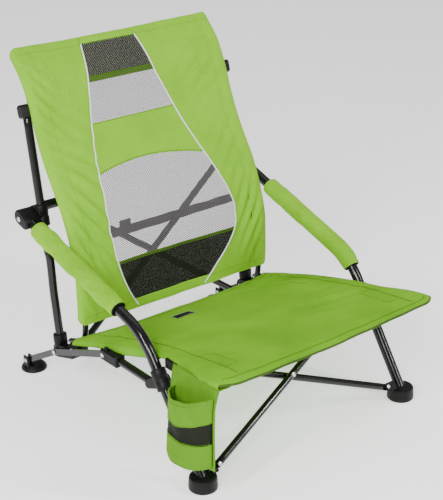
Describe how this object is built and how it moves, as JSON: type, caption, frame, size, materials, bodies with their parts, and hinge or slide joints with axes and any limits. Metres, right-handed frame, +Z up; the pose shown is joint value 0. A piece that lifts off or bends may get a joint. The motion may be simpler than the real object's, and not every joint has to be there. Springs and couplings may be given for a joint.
{
  "type": "folding camp chair",
  "caption": "Low folding beach chair with slung green mesh back and seat, padded bent-tube arms, crossed rods and a side cup pocket.",
  "frame": {"origin": "on the floor, under the middle of the bounding box of the open chair", "axes": "+Z up, +Y towards the back of the chair, -Y the way the sitter faces, +X to the sitter's left, so the cup pocket is at -X"},
  "size_m": [0.6284, 0.7028, 0.7167],
  "materials": {
    "black_tube": "gloss black powder-coated steel tube",
    "black_plastic": "satin black moulded nylon",
    "steel_rivets": "bright zinc-plated rivet",
    "green_fabric": "lime green woven polyester with see-through mesh panels and white piping",
    "pocket_fabric": "dark mesh cup pocket with green bands",
    "pad_fabric": "lime green woven sleeve over foam",
    "webbing": "black woven webbing",
    "label": "blank black sewn label"
  },
  "bodies": {
    "upright_left": {"rear_post_left": "black_tube", "back_rod_left": "black_tube", "post_cap_left": "black_plastic", "rear_joint_left": "black_plastic", "rear_rod_pin_left": "steel_rivets", "seat_pin_left": "steel_rivets", "lever_pin_left": "steel_rivets", "back_fabric": "green_fabric", "lumbar_strap": "webbing", "strap_buckle": "black_plastic"},
    "slider_left": {"arm_slider_left": "black_plastic", "arm_pin_left": "steel_rivets", "rod_top_pin_left": "steel_rivets"},
    "arm_left": {"arm_leg_left": "black_tube", "arm_pad_left": "pad_fabric", "front_foot_left": "black_plastic", "front_rod_pin_left": "steel_rivets", "leg_bracket_left": "black_plastic"},
    "lever_left": {"rear_lever_left": "black_tube"},
    "rear_foot_left": {"rear_foot_left": "black_plastic", "rear_foot_pin_left": "steel_rivets"},
    "side_link_left": {"front_link_left": "black_tube", "knee_joint_left": "black_plastic", "knee_pin_left": "steel_rivets"},
    "seat_left": {"seat_rod_left": "black_tube", "seat_bracket_left": "black_plastic", "seat_fabric": "green_fabric", "seat_label": "label", "cup_pocket": "pocket_fabric"},
    "front_rod_left": {"front_cross_rod_left": "black_tube", "front_cross_rivet_left": "steel_rivets"},
    "rear_rod_left": {"rear_cross_rod_left": "black_tube", "rear_cross_rivet": "steel_rivets"},
    "upright_right": {"rear_post_right": "black_tube", "back_rod_right": "black_tube", "post_cap_right": "black_plastic", "rear_joint_right": "black_plastic", "rear_rod_pin_right": "steel_rivets", "seat_pin_right": "steel_rivets", "lever_pin_right": "steel_rivets"},
    "slider_right": {"arm_slider_right": "black_plastic", "arm_pin_right": "steel_rivets", "rod_top_pin_right": "steel_rivets"},
    "arm_right": {"arm_leg_right": "black_tube", "arm_pad_right": "pad_fabric", "front_foot_right": "black_plastic", "front_rod_pin_right": "steel_rivets", "leg_bracket_right": "black_plastic"},
    "lever_right": {"rear_lever_right": "black_tube"},
    "rear_foot_right": {"rear_foot_right": "black_plastic", "rear_foot_pin_right": "steel_rivets"},
    "side_link_right": {"front_link_right": "black_tube", "knee_joint_right": "black_plastic", "knee_pin_right": "steel_rivets"},
    "seat_right": {"seat_rod_right": "black_tube", "seat_bracket_right": "black_plastic"},
    "front_rod_right": {"front_cross_rod_right": "black_tube", "front_cross_rivet_right": "steel_rivets"},
    "rear_rod_right": {"rear_cross_rod_right": "black_tube"}
  },
  "joints": [
    {"name": "rear_rod_turn_left", "type": "hinge", "parent": "upright_left", "child": "rear_rod_left", "pos_m": [-0.2111, 0.19493, 0.08362], "axis": [0, -0.9857, 0.1686], "range_deg": [0, 29.5], "deforming": ["back_fabric", "seat_fabric", "lumbar_strap", "cup_pocket"]},
    {"name": "rear_cross_turn", "type": "hinge", "parent": "rear_rod_left", "child": "rear_rod_right", "pos_m": [0.0089, 0.21421, 0.245], "axis": [0, -0.9857, 0.1686], "range_deg": [-59.05, 0]},
    {"name": "rear_rod_turn_right", "type": "hinge", "parent": "rear_rod_right", "child": "upright_right", "pos_m": [0.2289, 0.17877, 0.08638], "axis": [0, -0.9857, 0.1686], "range_deg": [0, 29.55]},
    {"name": "slider_turn_left", "type": "hinge", "parent": "rear_rod_right", "child": "slider_left", "pos_m": [-0.2111, 0.23349, 0.40638], "axis": [0, -0.9857, 0.1686], "range_deg": [0, 29.55]},
    {"name": "slider_turn_right", "type": "hinge", "parent": "rear_rod_left", "child": "slider_right", "pos_m": [0.2289, 0.24965, 0.40362], "axis": [0, -0.9857, 0.1686], "range_deg": [-29.55, 0]},
    {"name": "arm_turn_left", "type": "hinge", "parent": "slider_left", "child": "arm_left", "pos_m": [-0.2771, 0.26585, 0.3835], "axis": [1, 0, 0], "range_deg": [0, 26.8]},
    {"name": "lever_turn_left", "type": "hinge", "parent": "upright_left", "child": "lever_left", "pos_m": [-0.2631, 0.20735, 0.0903], "axis": [1, 0, 0], "range_deg": [-51.75, 0]},
    {"name": "rear_foot_turn_left", "type": "hinge", "parent": "lever_left", "child": "rear_foot_left", "pos_m": [-0.2631, 0.32035, 0.026], "axis": [1, 0, 0], "range_deg": [0, 51.75]},
    {"name": "knee_turn_left", "type": "hinge", "parent": "lever_left", "child": "side_link_left", "pos_m": [-0.2581, 0.01485, 0.163], "axis": [1, 0, 0], "range_deg": [0, 93.35]},
    {"name": "seat_turn_left", "type": "hinge", "parent": "upright_left", "child": "seat_left", "pos_m": [-0.2443, 0.16285, 0.127], "axis": [1, 0, 0], "range_deg": [-49.25, 0]},
    {"name": "front_rod_turn_left", "type": "hinge", "parent": "arm_left", "child": "front_rod_left", "pos_m": [-0.2231, -0.29018, 0.03922], "axis": [0, -0.8572, 0.515], "range_deg": [0, 39.85]},
    {"name": "arm_turn_right", "type": "hinge", "parent": "slider_right", "child": "arm_right", "pos_m": [0.2949, 0.26585, 0.3835], "axis": [1, 0, 0], "range_deg": [0, 26.8]},
    {"name": "lever_turn_right", "type": "hinge", "parent": "upright_right", "child": "lever_right", "pos_m": [0.2809, 0.20735, 0.0903], "axis": [1, 0, 0], "range_deg": [-51.75, 0]},
    {"name": "rear_foot_turn_right", "type": "hinge", "parent": "lever_right", "child": "rear_foot_right", "pos_m": [0.2809, 0.32035, 0.026], "axis": [1, 0, 0], "range_deg": [0, 51.75]},
    {"name": "knee_turn_right", "type": "hinge", "parent": "lever_right", "child": "side_link_right", "pos_m": [0.2759, 0.01485, 0.163], "axis": [1, 0, 0], "range_deg": [0, 93.35]},
    {"name": "seat_turn_right", "type": "hinge", "parent": "upright_right", "child": "seat_right", "pos_m": [0.2621, 0.16285, 0.127], "axis": [1, 0, 0], "range_deg": [-49.25, 0]},
    {"name": "front_rod_turn_right", "type": "hinge", "parent": "arm_right", "child": "front_rod_right", "pos_m": [0.2409, -0.27612, 0.03078], "axis": [0, -0.8572, 0.515], "range_deg": [-39.85, 0]}
  ],
  "couplings": [
    {"joint": "rear_cross_turn", "follows": "rear_rod_turn_left", "ratio": -2},
    {"joint": "rear_rod_turn_right", "follows": "rear_rod_turn_left", "ratio": 1},
    {"joint": "slider_turn_left", "follows": "rear_rod_turn_left", "ratio": 1},
    {"joint": "slider_turn_right", "follows": "rear_rod_turn_left", "ratio": -1},
    {"joint": "arm_turn_left", "follows": "rear_rod_turn_left", "ratio": 0.90678},
    {"joint": "lever_turn_left", "follows": "rear_rod_turn_left", "ratio": -1.7525},
    {"joint": "rear_foot_turn_left", "follows": "rear_rod_turn_left", "ratio": 1.7525},
    {"joint": "knee_turn_left", "follows": "rear_rod_turn_left", "ratio": 3.1627},
    {"joint": "seat_turn_left", "follows": "rear_rod_turn_left", "ratio": -1.6678},
    {"joint": "front_rod_turn_left", "follows": "rear_rod_turn_left", "ratio": 1.3492},
    {"joint": "arm_turn_right", "follows": "rear_rod_turn_left", "ratio": 0.90678},
    {"joint": "lever_turn_right", "follows": "rear_rod_turn_left", "ratio": -1.7525},
    {"joint": "rear_foot_turn_right", "follows": "rear_rod_turn_left", "ratio": 1.7525},
    {"joint": "knee_turn_right", "follows": "rear_rod_turn_left", "ratio": 3.1627},
    {"joint": "seat_turn_right", "follows": "rear_rod_turn_left", "ratio": -1.6678},
    {"joint": "front_rod_turn_right", "follows": "rear_rod_turn_left", "ratio": -1.3492}
  ]
}
